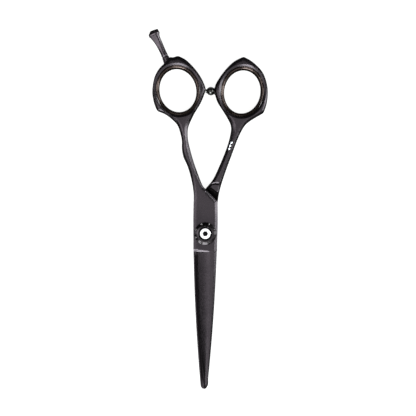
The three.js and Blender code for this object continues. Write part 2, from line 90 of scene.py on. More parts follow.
RIM, RIM_WIDTH = 1.35, 1.8  # height and width of the rings' and shanks' rounded edges
FORK_RIM, FORK_RIM_WIDTH = 0.95, 2.5  # the same along the inner sides of the shanks, which are flatter
RIM_START, RIM_RUN = 14.0, 14.0  # along the shanks, the chamfer turns into the rounded edge here
FORK_START, FORK_END = 24.0, 55.0  # the flatter edges lie between these distances
SINK_WIDTH, SINK_STEP, SINK_DEPTH = 0.95, 0.14, 0.52  # the shallow countersink round each insert
SINK_LIP = 0.12  # width of the step at its outer end
CHAMFER_WIDTH, CHAMFER_DROP = 1.38, 0.64  # sloping faces along the plates' long edges
SHANK_SIDE_DROP = 0.2  # the same, on the side that runs into the shank
DIAGONAL_WIDTH, DIAGONAL_DROP = 0.3, 0.22  # chamfer along the diagonal
EDGE_BREAK = 0.08  # along the plates' inner edges

BUMPER_CORNER = np.array([0.1, 65.3])  # corner of the finger ring that meets the bumper
CRYSTAL_R = 0.5
SEAT_PLAY, SEAT_DEPTH = 0.07, 0.4
BUSHING_R, SHAFT_R, WASHER_R = 2.66, 2.06, 4.26


def box_mm(node):
    """The low and high corners of a CAD node's box, in millimetres."""
    return [np.array(corner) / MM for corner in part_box(node)]


def unit(x):
    """A value kept between 0 and 1."""
    return np.clip(x, 0, 1)


def eased(x):
    """A value kept between 0 and 1 that starts and ends slowly."""
    share = unit(x)
    return share * share * (3 - 2 * share)


def shank_top(y):
    """Height of the outer face over the plate, shank and ring."""
    return PLATE_TOP + (STACK - PLATE_TOP) * eased((y - SWELL_START) / (SWELL_END - SWELL_START))


def step_distance(x, y):
    """Distance from the pivot, square to the step's wall."""
    return -x * STEP_SIN + y * STEP_COS


def smooth_min(a, b, radius):
    """The lower of two heights, with the crease between them rounded."""
    h = unit(0.5 + 0.5 * (b - a) / radius)
    return b + (a - b) * h - radius * h * (1 - h)


def smooth_max(a, b, radius):
    return -smooth_min(-a, -b, radius)


# ---- plan curves


def slice_loops(node, height):
    """Closed loops, in plan, where a CAD node's surface crosses a height."""
    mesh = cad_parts[node].data
    mesh.calc_loop_triangles()
    co = np.array([v.co for v in mesh.vertices]) / MM
    triangles = co[np.array([tuple(t.vertices) for t in mesh.loop_triangles])]
    links, points = {}, {}
    above = triangles[:, :, 2] > height
    cut = above.any(1) & ~above.all(1)
    for corners, side in zip(triangles[cut], above[cut]):
        keys = []
        for i in range(3):
            j = (i + 1) % 3
            if side[i] != side[j]:
                a, b = sorted((tuple(np.round(corners[i], 4)), tuple(np.round(corners[j], 4))))
                share = (height - a[2]) / (b[2] - a[2])
                keys.append((a, b))
                points[(a, b)] = np.array([a[k] + share * (b[k] - a[k]) for k in (0, 1)])
        for key, other in (keys, keys[::-1]):
            links.setdefault(key, []).append(other)
    loops = []
    unused = set(links)
    while unused:
        start = here = min(unused)
        loop = []
        while here in unused:
            unused.discard(here)
            loop.append(points[here])
            ahead = [k for k in links[here] if k in unused]
            here = ahead[0] if ahead else start
        if len(loop) > 5:
            loops.append(np.array(loop))
    return sorted(loops, key=lambda loop: -abs(area(loop)))


def area(loop):
    x, y = loop[:, 0], loop[:, 1]
    return 0.5 * float(np.sum(x * np.roll(y, -1) - y * np.roll(x, -1)))


def turns(loop):
    """Turning angle at each point of a closed loop, in degrees."""
    before = loop - np.roll(loop, 1, 0)
    after = np.roll(loop, -1, 0) - loop
    cross = before[:, 0] * after[:, 1] - before[:, 1] * after[:, 0]
    dot = (before * after).sum(1)
    return np.degrees(np.abs(np.arctan2(cross, dot)))


def without_flat_points(loop):
    """Drops the points that lie on the straight line between their neighbours."""
    keep = np.ones(len(loop), bool)
    for i in range(len(loop)):
        a, b, c = loop[i - 1], loop[i], loop[(i + 1) % len(loop)]
        chord = c - a
        off = abs(chord[0] * (b - a)[1] - chord[1] * (b - a)[0]) / max(np.hypot(*chord), 1e-9)
        if off < 0.0015 and keep[i - 1]:
            keep[i] = False
    return loop[keep]


def through(points, per_segment=10):
    """An open smooth curve through the points."""
    steps = np.diff(points, axis=0)
    length = np.maximum(np.hypot(*steps.T), 1e-9)[:, None]
    slope = steps / length
    middle = (slope[:-1] * length[1:] + slope[1:] * length[:-1]) / (length[:-1] + length[1:])
    tangent = np.vstack([slope[:1], middle, slope[-1:]])
    t = np.linspace(0, 1, per_segment, endpoint=False)[:, None]
    pieces = []
    for start, step, size, first, last in zip(points, steps, length, tangent, tangent[1:]):
        a, b = first * size, last * size
        pieces.append(start + a * t + (3 * step - 2 * a - b) * t**2 + (a + b - 2 * step) * t**3)
    return np.vstack(pieces + [points[-1:]])


def evenly(curve, spacing):
    """Points at an even spacing along an open curve, with both its ends."""
    steps = np.hypot(*np.diff(curve, axis=0).T)
    along = np.concatenate([[0], np.cumsum(steps)])
    count = max(2, int(round(along[-1] / spacing)) + 1)
    at = np.linspace(0, along[-1], count)
    return columns(*(np.interp(at, along, curve[:, i]) for i in (0, 1)))


def without_bore(loop, start, end, radius):
    """Drops the points where a loop follows a bore that opens through the side of the part."""
    away = distance(loop, np.array([start, end]), closed=False)
    return loop[away > radius]


def refined(loop, spacing, corner=28.0):
    """A closed loop as a smooth curve between its corners, with points at an even spacing."""
    loop = without_flat_points(loop)
    corners = np.flatnonzero(turns(loop) > corner)
    if len(corners) == 0:
        wrapped = np.vstack([loop[-3:], loop, loop[:4]])
        per = 10
        return evenly(through(wrapped, per)[3 * per : (len(loop) + 3) * per + 1], spacing)[:-1]
    pieces = []
    for a, b in zip(corners, np.roll(corners, -1)):
        stretch = np.vstack([loop[a:], loop[: b + 1]]) if b <= a else loop[a : b + 1]
        pieces.append(evenly(through(stretch), spacing)[:-1])
    return np.vstack(pieces)


def softened(loop, width, where):
    """Rounds a closed loop's corners where the mask holds."""
    reach = 3 * width
    weights = np.exp(-0.5 * (np.arange(-reach, reach + 1) / width) ** 2)
    blurred = sum(w * np.roll(loop, k, 0) for k, w in zip(range(-reach, reach + 1), weights))
    blurred /= weights.sum()
    return np.where(where[:, None], blurred, loop)


def inward(loop):
    """Unit normals that point into a counter-clockwise loop."""
    tangent = np.roll(loop, -1, 0) - np.roll(loop, 1, 0)
    tangent /= np.hypot(*tangent.T)[:, None]
    return columns(-tangent[:, 1], tangent[:, 0])


def distance(points, line, closed=True):
    """Distance of each point from a polyline."""
    a = line if closed else line[:-1]
    b = np.roll(line, -1, 0) if closed else line[1:]
    ab = b - a
    length2 = (ab**2).sum(1)
    best = np.empty(len(points))
    for start in range(0, len(points), 1500):
        p = points[start : start + 1500, None]
        share = unit(((p - a) * ab).sum(2) / length2)
        gap = p - a - share[..., None] * ab
        best[start : start + 1500] = np.sqrt((gap**2).sum(2).min(1))
    return best


def inside(points, loop):
    """Whether each point is inside a closed loop."""
    x, y = points[:, :1], points[:, 1:]
    x0, y0 = loop.T
    x1, y1 = np.roll(loop, -1, 0).T
    hits = np.zeros(len(points), int)
    for start in range(0, len(points), 3000):
        s = slice(start, start + 3000)
        spans = (y0 > y[s]) != (y1 > y[s])
        with np.errstate(divide="ignore", invalid="ignore"):
            crossing = (x1 - x0) * (y[s] - y0) / (y1 - y0) + x0
        hits[s] = (spans & (x[s] < crossing)).sum(1)
    return hits % 2 == 1


def columns(*parts):
    """Rows of coordinates; a single number is repeated."""
    return np.column_stack(np.broadcast_arrays(*parts))


def angles(count):
    """Angles at an even spacing, once round."""
    return np.arange(count) * 2 * math.pi / count


def circle(radius, spacing=0.25, centre=(0, 0)):
    angle = angles(max(12, int(2 * math.pi * radius / spacing)))
    return columns(centre[0] + radius * np.cos(angle), centre[1] + radius * np.sin(angle))


# ---- one half of the shears


class Half:
    """A half in the upper layout: its plan, and the heights of its outer and inner faces."""

    def __init__(self, node, height, turned_over, hub_radius, bore, recess=None, seats=()):
        self.turned_over = turned_over
        loops = slice_loops(node, height)
        loops[0] = without_bore(loops[0], *bore)
        if turned_over:
            loops = [loop * (-1, 1) for loop in loops]
        loops = [loop if area(loop) > 0 else loop[::-1] for loop in loops]
        outline = refined(loops[0], 0.24)
        soft = (outline[:, 1] > 24) & (np.hypot(*(outline - BUMPER_CORNER).T) > 1.2)
        soft |= outline[:, 1] < -BLADE_END + 0.4
        self.outline = self.with_lip_points(softened(outline, 2, soft))
        self.ring_hole = refined(loops[1], 0.3)
        self.hub = circle(hub_radius)
        self.recess = recess
        self.seats = seats
        self.split_outline()
        self.shank_middle = self.middle_line()

    def with_lip_points(self, loop):
        """A closed loop with points added where it crosses the ledge's upper line."""
        side = loop[:, 1] - self.lip_y(loop[:, 0])
        out = []
        for point, follow, a, b in zip(loop, np.roll(loop, -1, 0), side, np.roll(side, -1)):
            out.append(point)
            if a * b < 0:
                out.append(point + (follow - point) * a / (a - b))
        return np.array(out)

    def split_outline(self):
        """Points (y, x) along the blade's spine and cutting edge, from the tip up."""
        x, y = self.outline.T
        blade = y < -LEDGE + 0.2
        divide = x[y < -BLADE_END].mean() * unit(-y / BLADE_END)
        sides = [self.outline[blade & (x > divide)], self.outline[blade & (x <= divide)]]
        self.spine, edge = [side[np.argsort(side[:, 1])].T[::-1] for side in sides]
        self.edge = edge[:, edge[0] < -LEDGE - 0.1]

    def middle_line(self):
        """Points (y, x) half way between the shank's two sides."""
        rows = np.arange(20, 58, 0.5)
        x, y = self.outline.T
        near = [x[np.abs(y - row) < 0.4] for row in rows]
        return rows, np.array([(x.min() + x.max()) / 2 for x in near])

    def fork_side(self, x, y):
        """How much a point belongs to the flatter rim on the shank's inner side."""
        along = unit((y - FORK_START) / 6) * unit((FORK_END - y) / 5)
        return eased((x - np.interp(y, *self.shank_middle)) / 0.9) * along

    def spine_x(self, y):
        return np.interp(y, *self.spine)

    def edge_x(self, y):
        return np.interp(y, *self.edge)

    def ridge_x(self, y):
        t = unit(-y / BLADE_END)
        edge = self.edge_x(y)
        return edge + (self.spine_x(y) - edge) * (RIDGE_SHARE - RIDGE_LEAN * t**6)

    def blade_top(self, y):
        t = np.clip((-y - LEDGE) / (BLADE_END - LEDGE), 0, 1.03)
        return PLATE_TOP + (UPPER_Z + TIP_THICKNESS - PLATE_TOP) * t

    def taper(self, y):
        """The blade's thickness, as a share of the plate's."""
        return unit((self.blade_top(y) - UPPER_Z) / PLATE_THICKNESS)

    def foot_x(self, y):
        """Where the grind meets the honed bevel."""
        return self.edge_x(y) + BEVEL_WIDTH * self.taper(y)

    def rim_width(self, x, y):
        width = CHAMFER_WIDTH + (RIM_WIDTH - CHAMFER_WIDTH) * unit((y - RIM_START) / RIM_RUN)
        return width + (FORK_RIM_WIDTH - width) * self.fork_side(x, y)

    def rim_round(self, u, x, y):
        """Height lost at a share of the rim's width."""
        rounded = RIM * (1 - np.sqrt(np.maximum(0, 1 - (1 - u) ** 2)))
        return rounded + (FORK_RIM * (1 - u) ** 2 - rounded) * self.fork_side(x, y)

    def rim_drop(self, d, x, y):
        """How far the outer face falls at a distance from the outline: chamfer or round."""
        share = unit((y - RIM_START) / RIM_RUN)
        u = unit(d / self.rim_width(x, y))
        chamfer = np.where(x > 0, CHAMFER_DROP, SHANK_SIDE_DROP) * (1 - u)
        return chamfer * (1 - share) + self.rim_round(u, x, y) * share

    def sink(self, d_hole):
        """Depth of the countersink at a distance from the ring's hole."""
        slope = unit((SINK_WIDTH - SINK_LIP - d_hole) / (SINK_WIDTH - SINK_LIP))
        return SINK_STEP * eased((SINK_WIDTH - d_hole) / SINK_LIP) + (SINK_DEPTH - SINK_STEP) * slope

    def outer(self, p, d, d_hole, d_diagonal):
        """Height of the face that looks away from the other half."""
        x, y = p.T
        body = shank_top(y) - self.rim_drop(d, x, y)
        diagonal = unit(d_diagonal / DIAGONAL_WIDTH)
        body = np.minimum(body, shank_top(y) - DIAGONAL_DROP * (1 - diagonal)) - self.sink(d_hole)
        # blade: flat band, chamfer along the spine, convex grind down to the honed bevel
        edge, spine, ridge, foot = self.edge_x(y), self.spine_x(y), self.ridge_x(y), self.foot_x(y)
        top = self.blade_top(y)
        width = np.maximum(spine - edge, 0.05)
        slope = unit((spine - x) / (BAND_SHARE * width))
        flat = top - CHAMFER_DROP * np.minimum(1, width / BLADE_WIDTH) * (1 - slope)
        sole = UPPER_Z + BEVEL_HEIGHT * self.taper(y)
        share = unit((x - foot) / np.maximum(ridge - foot, 0.05))
        grind = sole + (top - sole) * (share + ROUNDING * (1 - share - (1 - share) ** 1.8))
        grind = grind + 0.25 * np.maximum(0, x - ridge)
        grind = np.minimum(grind, UPPER_Z + 0.03 + (x - edge) * BEVEL_HEIGHT / BEVEL_WIDTH)
        blade = smooth_min(flat, grind, 0.03)
        tip = unit((-y - BLADE_END + TIP_RUN) / TIP_RUN)
        blade = blade - TIP_ROUND_DROP * tip * (1 - unit(d / TIP_ROUND_WIDTH)) ** 2
        # ledge: a polished slope below the plate's face, then a wall with a rounded foot
        lip = self.lip_y(x)
        ledge = body - LIP_TILT * np.maximum(0, lip - y) - WALL_TILT * np.maximum(0, -LEDGE - y)
        return np.where(y < lip, smooth_max(blade, ledge, 0.15), body)

    def lip_y(self, x):
        return -LIP - LIP_SLANT * (x + 5.45)

    def valley_lines(self, x):
        """Where the hollow in front of the step starts and ends, along Y."""
        (x0, y0), (x1, y1) = DIAGONAL * (-1, 1)
        start = y0 + (y1 - y0) * (x - x0) / (x1 - x0) + 0.12
        end = (STEP_DISTANCE + x * STEP_SIN) / STEP_COS
        return start, end

    def valley_share(self, x, y):
        """0 where the hollow starts, 1 at the step's wall."""
        start, end = self.valley_lines(x)
        return np.where(x < 2, unit((y - start) / np.maximum(end - start, 0.05)), 0)

    def inner(self, p, d, d_hole):
        """Height of the face that looks at the other half."""
        x, y = p.T
        s = step_distance(x, y)
        across = x * STEP_COS + y * STEP_SIN - STEP_MIDDLE
        low = STACK - shank_top(y)
        bent = s + RAMP_BOW * across**2
        wall = RAMP_HEIGHT - RAMP_WALL * (bent - RAMP_START)
        slope = smooth_max(low + RAMP_SLOPE * (RAMP_END - bent), low, 0.08)
        bar = np.where(bent > RAMP_START, smooth_max(wall, slope, 0.12), RAMP_HEIGHT)
        u = unit(d / self.rim_width(x, y))
        bar = bar + self.rim_round(u, x, y) + self.sink(d_hole)
        rise = self.valley_share(x, y)
        curve = 0.35 * rise + 0.65 * (1 - np.sqrt(1 - rise**2))
        valley = UPPER_Z - (UPPER_Z - RAMP_HEIGHT) * curve
        edge, spine = self.edge_x(y), self.spine_x(y)
        share = unit((x - edge - RIDE_LINE) / np.maximum(spine - edge - RIDE_LINE, 0.05))
        fade = unit((-y - LEDGE) / 3) * unit((BLADE_END - 1 + y) / 6)
        hollow = 4 * INNER_HOLLOW * share * (1 - share) * fade
        plate = valley + hollow + EDGE_BREAK * (1 - unit(d / EDGE_BREAK)) * (y > -LEDGE)
        height = np.where(s < STEP_DISTANCE, plate, bar)
        if self.recess:
            height = np.where(np.hypot(x, y) < self.recess[0] + 0.01, UPPER_Z + self.recess[1], height)
        for centre in self.seats:
            near = np.hypot(x - centre[0], y - centre[1]) < CRYSTAL_R + SEAT_PLAY
            height = np.where(near, height + SEAT_DEPTH, height)
        return height

    def plan_points(self):
        """Points and constraint edges for the plan's triangulation."""
        points = [self.outline, self.ring_hole, self.hub]
        edges = []
        start = 0
        for loop in points:
            index = start + np.arange(len(loop))
            edges.append(columns(index, np.roll(index, -1)))
            start += len(loop)

        def crease(line, closed=False):
            nonlocal start
            keep = self.within(line, 0.02)
            index = start + np.arange(len(line))
            follow = np.roll(index, -1)
            good = keep & np.roll(keep, -1)
            if not closed:
                good[-1] = False
            compact = np.cumsum(keep) - 1
            edges.append(columns(*(start + compact[part[good] - start] for part in (index, follow))))
            points.append(line[keep])
            start += int(keep.sum())

        # rows of points along the rounded rims
        shares = 1 - np.sin(np.radians([76, 62, 48, 34, 20, 8]))
        normals = inward(self.outline)
        blade = self.outline[:, 1] < -LEDGE - 0.3
        width = self.rim_width(*self.outline.T)
        for share in [*shares, 1.0]:
            ring = self.outline + normals * (width * share)[:, None]
            clean = (distance(ring, self.outline) > 0.93 * width * share) & ~blade
            points.append(ring[clean & self.within(ring, 0.02)])
            start += len(points[-1])
        hole_normals = -inward(self.ring_hole)
        for reach in (0.03, 0.25, 0.5, 0.7, 0.8, 0.83, 0.87, 0.91, 0.95, 1.05):
            crease(self.ring_hole + hole_normals * reach, closed=True)
        # blade lines
        y = np.arange(-LEDGE - 0.2, -BLADE_END - 0.6, -0.5)
        edge, spine, ridge = self.edge_x(y), self.spine_x(y), self.ridge_x(y)
        foot = self.foot_x(y)
        lines = [
            ridge, spine - BAND_SHARE * (spine - edge), edge + RIDE_LINE * np.minimum(1, (spine - edge) / 4),
            spine - SPINE_LAND, spine - SPINE_LAND - HOLLOW_EDGE,
        ]
        shares = (0.0, 0.12, 0.28, 0.42, 0.58, 0.72, 0.84, 0.93, 0.985)
        for line in lines + [foot + (ridge - foot) * share for share in shares]:
            crease(columns(line, y))
        # ledge lines
        x = np.linspace(-5.6, 5.3, 64)
        for share in (0.0, 0.1, 0.25, 0.5, 0.75, 0.9, 1.0):
            crease(columns(x, self.lip_y(x) * (1 - share) - LEDGE * share))
        for drop in np.arange(0.05, 0.96, 0.05):
            crease(columns(x[:48], -LEDGE - drop))
        # step lines, across the shank
        x = np.linspace(-9, 1.2, 40)
        start_line, end_line = self.valley_lines(x)
        for share in (0.0, 0.2, 0.4, 0.6, 0.75, 0.87, 0.95, 0.995):
            crease(columns(x, start_line + (end_line - start_line) * share))
        across = np.linspace(-4.5, 4.5, 40)
        normal = np.array([-STEP_SIN, STEP_COS])
        run = (STEP_MIDDLE + across)[:, None] * (STEP_COS, STEP_SIN)
        crease(run + normal * STEP_DISTANCE)
        for reach in (-0.06, 0.0, 0.25, 0.5, 0.75, 0.86, 0.98, 1.15, 1.35, 1.5, 1.6, 1.7, 1.85):
            bent = RAMP_START + reach - RAMP_BOW * across**2
            crease(run + normal * bent[:, None])
        if self.recess:
            for reach in (-0.005, 0.02):
                crease(circle(self.recess[0] + reach), closed=True)
        for centre in self.seats:
            for reach in (0.06, 0.08):
                crease(circle(CRYSTAL_R + reach, 0.15, centre), closed=True)
        # a loose filling of the flats
        low, high = self.outline.min(0), self.outline.max(0)
        step = 0.55
        rows, places = np.arange(low[1], high[1], step * 0.866), np.arange(low[0], high[0], step)
        grid = np.array([(x + (i % 2) * step / 2, y) for i, y in enumerate(rows) for x in places])
        points = np.vstack(points)
        tree = KDTree(len(points))
        for i, q in enumerate(points):
            tree.insert((*q, 0), i)
        tree.balance()
        free = [q for q in grid[self.within(grid, 0.25)] if tree.find((*q, 0))[2] > 0.27]
        return np.vstack([points, free]), np.vstack(edges)

    def covers(self, points):
        """Whether each point is inside the outline and outside the ring hole and the hub."""
        return inside(points, self.outline) & ~inside(points, self.ring_hole) & ~inside(points, self.hub)

    def within(self, points, margin):
        """Whether the half covers each point, and its edges are at least a margin away."""
        good = self.covers(points)
        for loop in (self.outline, self.ring_hole, self.hub):
            good &= distance(points, loop) > margin
        return good

    def triangulated(self):
        """The plan's points and its counter-clockwise triangles."""
        points, edges = self.plan_points()
        found = delaunay_2d_cdt(
            [Vector(q) for q in points], [tuple(int(i) for i in e) for e in edges], [], 0, 1e-3, False
        )
        plan = np.array([(v.x, v.y) for v in found[0]])
        tri = np.array([f for f in found[2] if len(f) == 3])
        tri = tri[self.covers(plan[tri].mean(1))]
        a, b, c = plan[tri].transpose(1, 0, 2)
        doubled = (b - a)[:, 0] * (c - a)[:, 1] - (b - a)[:, 1] * (c - a)[:, 0]
        full = np.abs(doubled) > 1e-9
        tri = np.where(doubled[full][:, None] > 0, tri[full], tri[full][:, ::-1])
        used, tri = np.unique(tri, return_inverse=True)
        return plan[used], tri.reshape(-1, 3)

    def wear_and_painted_light(self, x, y, d, d_hole):
        """Distance from an edge: from the rims for both faces, which get rubbed wear and painted shade, and
        from the ridge for the outer one, whose lighter band is a painted highlight.
        """
        rims = np.minimum(d, d_hole + 0.6) + 0.45 * (1 - unit((y - RIM_START) / 10))
        # painted highlight: a lighter band along the blade's ridge, on the outer face
        ridge = np.where(y < -LEDGE - 0.5, 0.8 + 1.4 * np.abs(x - self.ridge_x(y)), 9)
        return np.concatenate([np.minimum(rims, ridge), rims])

    def shade(self, x, y):
        """Painted shade at each vertex of the inner face: the valley by the step, and faintly the blade's
        hollow.
        """
        valley = np.minimum(1, 3 * self.valley_share(x, y))
        valley = np.where(step_distance(x, y) > STEP_DISTANCE - 0.02, 0, valley)
        hollow = unit((self.spine_x(y) - SPINE_LAND - x) / HOLLOW_EDGE)
        hollow *= unit((x - self.edge_x(y) - RIDE_LINE) / 0.3) * unit((-y - LEDGE) / 2)
        inner = np.maximum(valley, 0.16 * hollow)
        return np.concatenate([0 * inner, inner])

    def shape(self):
        """Vertices, faces and marks: outer and inner faces over one plan, joined along its borders."""
        plan, tri = self.triangulated()
        x, y = plan.T
        d = distance(plan, self.outline)
        d_hole = distance(plan, self.ring_hole)
        bottom = self.inner(plan, d, d_hole)
        top = self.outer(plan, d, d_hole, distance(plan, DIAGONAL, closed=False))
        top = np.maximum(top, bottom + 0.03)
        vertices = np.vstack([columns(x, y, top), columns(x, y, bottom)])
        if self.turned_over:
            vertices = vertices * (-1, 1, -1) + (0, 0, STACK)
        count = len(plan)
        sides = dict.fromkeys((t[i], t[(i + 1) % 3]) for t in tri for i in range(3))
        faces = [tuple(t) for t in tri] + [tuple(count + i for i in t[::-1]) for t in tri]
        faces += [(b, a, count + a, count + b) for a, b in sides if (b, a) not in sides]
        return vertices, faces, {"edge_distance": self.wear_and_painted_light(x, y, d, d_hole), "recess": self.shade(x, y)}


def add_object(name, data):
    piece = bpy.data.objects.new(name, data)
    bpy.context.scene.collection.objects.link(piece)
    return piece


def mark(piece, name, values):
    """Stores a value at each vertex, for the materials."""
    attribute = piece.data.attributes.get(name) or piece.data.attributes.new(name, "FLOAT", "POINT")
    values = np.broadcast_to(np.asarray(values, np.float32), len(piece.data.vertices))
    attribute.data.foreach_set("value", values)


def make_object(name, vertices, faces, sharp_angle):
    """A mesh object from millimetre vertices, shaded smooth with its real creases kept."""
    mesh = bpy.data.meshes.new(name)
    mesh.from_pydata([tuple(v) for v in np.asarray(vertices) * MM], [], [tuple(map(int, f)) for f in faces])
    mesh.validate()
    mesh.update()
    mesh.shade_smooth()
    mesh.set_sharp_from_angle(angle=math.radians(sharp_angle))
    piece = add_object(name, mesh)
    mark(piece, "edge_distance", 1.0)
    return piece


# ---- skins over rows of rings


def skin(rings, wrap=False):
    """Vertices and faces over rings of as many points; a fan closes each end unless they wrap."""
    vertices = np.vstack(rings)
    index = np.arange(len(vertices)).reshape(len(rings), -1)
    rows = [*index, index[0]] if wrap else index
    faces = []
    for low, high in zip(rows, rows[1:]):
        faces += zip(low, np.roll(low, -1), np.roll(high, -1), high)
    if not wrap:
        for row, order in ((index[0], 1), (index[-1], -1)):
            middle = len(vertices)
            vertices = np.vstack([vertices, vertices[row].mean(0)])
            faces += [(middle, j, i)[::order] for i, j in zip(row, np.roll(row, -1))]
    return vertices, faces


def filleted(points, radius, closed=False, steps=4):
    """A polyline with its corners rounded; radius is one number, or one for each point."""
    points = np.asarray(points, float)
    radii = np.broadcast_to(radius, len(points))
    out = []
    for i, (corner, r) in enumerate(zip(points, radii)):
        if r == 0 or (not closed and i in (0, len(points) - 1)):
            out.append(corner)
            continue
        before, after = points[i - 1] - corner, points[(i + 1) % len(points)] - corner
        lengths = np.hypot(*before), np.hypot(*after)
        reach = min(r, 0.45 * lengths[0], 0.45 * lengths[1])
        start, end = (corner + side / n * reach for side, n in zip((before, after), lengths))
        for t in np.linspace(0, 1, steps):
            out.append((1 - t) ** 2 * start + 2 * t * (1 - t) * corner + t * t * end)
    return np.array(out)


def divided(points, longest, closed=False):
    """A polyline with its long stretches divided."""
    out = []
    ahead = np.roll(points, -1, 0) if closed else points[1:]
    for a, b in zip(points, ahead):
        parts = max(1, math.ceil(np.hypot(*(b - a)) / longest))
        out += [a + (b - a) * k / parts for k in range(parts)]
    if not closed:
        out.append(points[-1])
    return np.array(out)


def turned_rings(profile, sides):
    """A ring about the Z axis for each (radius, z) of a profile."""
    angle = angles(sides)
    return [columns(r * np.cos(angle), r * np.sin(angle), z) for r, z in profile]


def polar_radius(loop, centre, angle):
    """Distance from a centre to a closed loop, at each angle."""
    away = loop - centre
    at = np.arctan2(away[:, 1], away[:, 0])
    order = np.argsort(at)
    return np.interp(angle, at[order], np.hypot(*away[order].T), period=2 * math.pi)


# ---- inserts, dial, bumper, rest, crystals


def ring_insert(node):
    """Rubber ring: a broad quarter round down into the hole, and a bead beside the metal."""
    outer, inner = [refined(loop, 0.4, corner=60) for loop in slice_loops(node, STACK / 2)[:2]]
    centre = inner.mean(0)
    angle = np.linspace(-math.pi, math.pi, 220, endpoint=False)
    near, far = polar_radius(inner, centre, angle), polar_radius(outer, centre, angle)
    low, high = box_mm(node)
    crown = high[2] - STACK / 2
    half = []
    for a in np.radians(np.linspace(0, 84, 12)):
        half.append((0.62 * (1 - math.cos(a)), crown - 0.14 - 1.3 * (1 - math.sin(a))))
    bead = [
        (0.6, 0.16), (0.64, 0.2), (0.68, 0.15), (0.73, 0.04), (0.78, 0), (0.83, 0.02), (0.88, 0.09),
        (0.93, 0.22), (0.97, 0.4), (1.0, 0.65),
    ]
    half += [(u, crown - drop) for u, drop in bead]
    profile = half + [(u, -z) for u, z in reversed(half)]
    rings = []
    for u, z in profile:
        radius = near + (far - near) * u
        x, y = centre[0] + radius * np.cos(angle), centre[1] + radius * np.sin(angle)
        rings.append(columns(x, y, STACK / 2 + z))
    vertices, faces = skin(rings[::-1], wrap=True)
    # the marks are painted shade: they take the sheen off the wall of the hole, and off the end that looks
    # to -Y
    wall = unit((crown - 0.3 - np.abs(vertices[:, 2] - STACK / 2)) / 0.25)
    away = vertices[:, :2] - (low + high)[:2] / 2
    south = -away[:, 1] / np.hypot(*away.T)
    return vertices, faces, {"recess": np.maximum(wall, 0.75 * unit(1.6 * south - 0.4))}


(_, _, DIAL_LOW), (DIAL_R, _, DIAL_TOP) = box_mm("tension_dial")
DIAL_CEILING = DIAL_LOW + 0.78  # of the space for the click spring
ANNULUS_INNER, ANNULUS_FALL = 3.12, 0.13
CONE_INNER, CONE_OUTER, CONE_FALL = 3.95, DIAL_R - 0.12, 0.42
DIMPLE_CIRCLE, DIMPLE_R, DIMPLES = 4.45, 0.54, 8


def dial_body():
    """Click dial: a conical rim with eight dimples round an annulus."""
    top, low = DIAL_TOP, DIAL_LOW
    cone_top = top - ANNULUS_FALL
    outline = np.array([  # radius, height, rounding
        (4.0, DIAL_CEILING, 0), (4.0, low, 0.03), (DIAL_R - 0.12, low, 0.05), (DIAL_R, low + 0.12, 0.05),
        (DIAL_R, cone_top - CONE_FALL - 0.12, 0.08), (CONE_OUTER, cone_top - CONE_FALL, 0.08),
        (CONE_INNER, cone_top, 0.12), (ANNULUS_INNER, top, 0.06), (2.95, top - 0.3, 0.05),
        (2.52, top - 0.3, 0.03), (2.52, top - 0.45, 0), (1.66, top - 0.45, 0), (1.66, DIAL_CEILING, 0),
    ])
    profile = divided(filleted(outline[:, :2], outline[:, 2], closed=True), 0.075, closed=True)
    vertices, faces = skin(turned_rings(profile, 420)[::-1], wrap=True)
    run, rise = CONE_OUTER - CONE_INNER, CONE_FALL
    normal = np.array([rise, run]) / math.hypot(rise, run)
    centre_z = cone_top - (DIMPLE_CIRCLE - CONE_INNER) * rise / run
    polish = np.zeros(len(vertices))
    on_cone = (vertices[:, 2] > DIAL_CEILING + 0.01) & (np.hypot(*vertices[:, :2].T) > 3.8)
    for a in angles(DIMPLES) + math.pi / DIMPLES:
        outward, centre = (
            np.array([r * math.cos(a), r * math.sin(a), z]) for r, z in (normal, (DIMPLE_CIRCLE, centre_z))
        )
        away = vertices - centre
        height = away @ outward
        off = np.linalg.norm(away - height[:, None] * outward, axis=1)
        depth = np.clip(1.1 * (DIMPLE_R - off), 0, 0.5)
        vertices = vertices - (depth * on_cone)[:, None] * outward
        polish = np.maximum(polish, unit(4 * (DIMPLE_R - off)) * on_cone)
    reach = np.hypot(*vertices[:, :2].T)
    # painted shade: the seat inside the annulus goes nearly black, and the cone is blended a quarter of the
    # way towards it all round
    seat = unit((ANNULUS_INNER - reach) / 0.12)
    cone = unit((reach - CONE_INNER) / 0.1)
    return vertices, faces, {"polish": polish, "recess": np.maximum(seat, 0.25 * cone)}


def dial_cap():
    """Polished disc with a plain hexagonal recess."""
    sides, flat_half, depth = 96, 1.05, 0.25
    (_, _, low), (edge, _, high) = box_mm("dial_cap")
    angle = angles(sides)
    turn = np.mod(angle, math.pi / 3) - math.pi / 6
    hexagon = columns(np.cos(angle), np.sin(angle)) * (flat_half / np.cos(turn))[:, None]
    rim = [(edge, low), (edge, high - 0.14), (edge - 0.03, high - 0.06), (edge - 0.1, high)]
    crown = [(r, high + 0.02 * (1 - (r / edge) ** 2)) for r in (2.0, 1.7, 1.45)]
    rings = turned_rings(rim + crown, sides)
    for scale, drop in ((1.04, -0.005), (1.0, 0.03), (0.98, 0.08), (0.97, depth), (0.3, depth + 0.05)):
        rings.append(columns(*(hexagon * scale).T, high - drop))
    vertices, faces = skin(rings)
    # painted shade: the floor and walls of the hexagonal recess are darkened
    below = unit((DIAL_TOP - vertices[:, 2]) / 0.06)
    return vertices, faces, {"recess": below * (np.hypot(*vertices[:, :2].T) < 1.6)}


BUMPER = np.array([2.55, 65.2, STACK / 2])


def about_x(profile, sides):
    """Rings about the bumper's axis for each (x from the ball's middle, radius) of a profile."""
    angle = angles(sides)
    return [BUMPER + columns(x, r * np.cos(angle), r * np.sin(angle)) for x, r in profile]


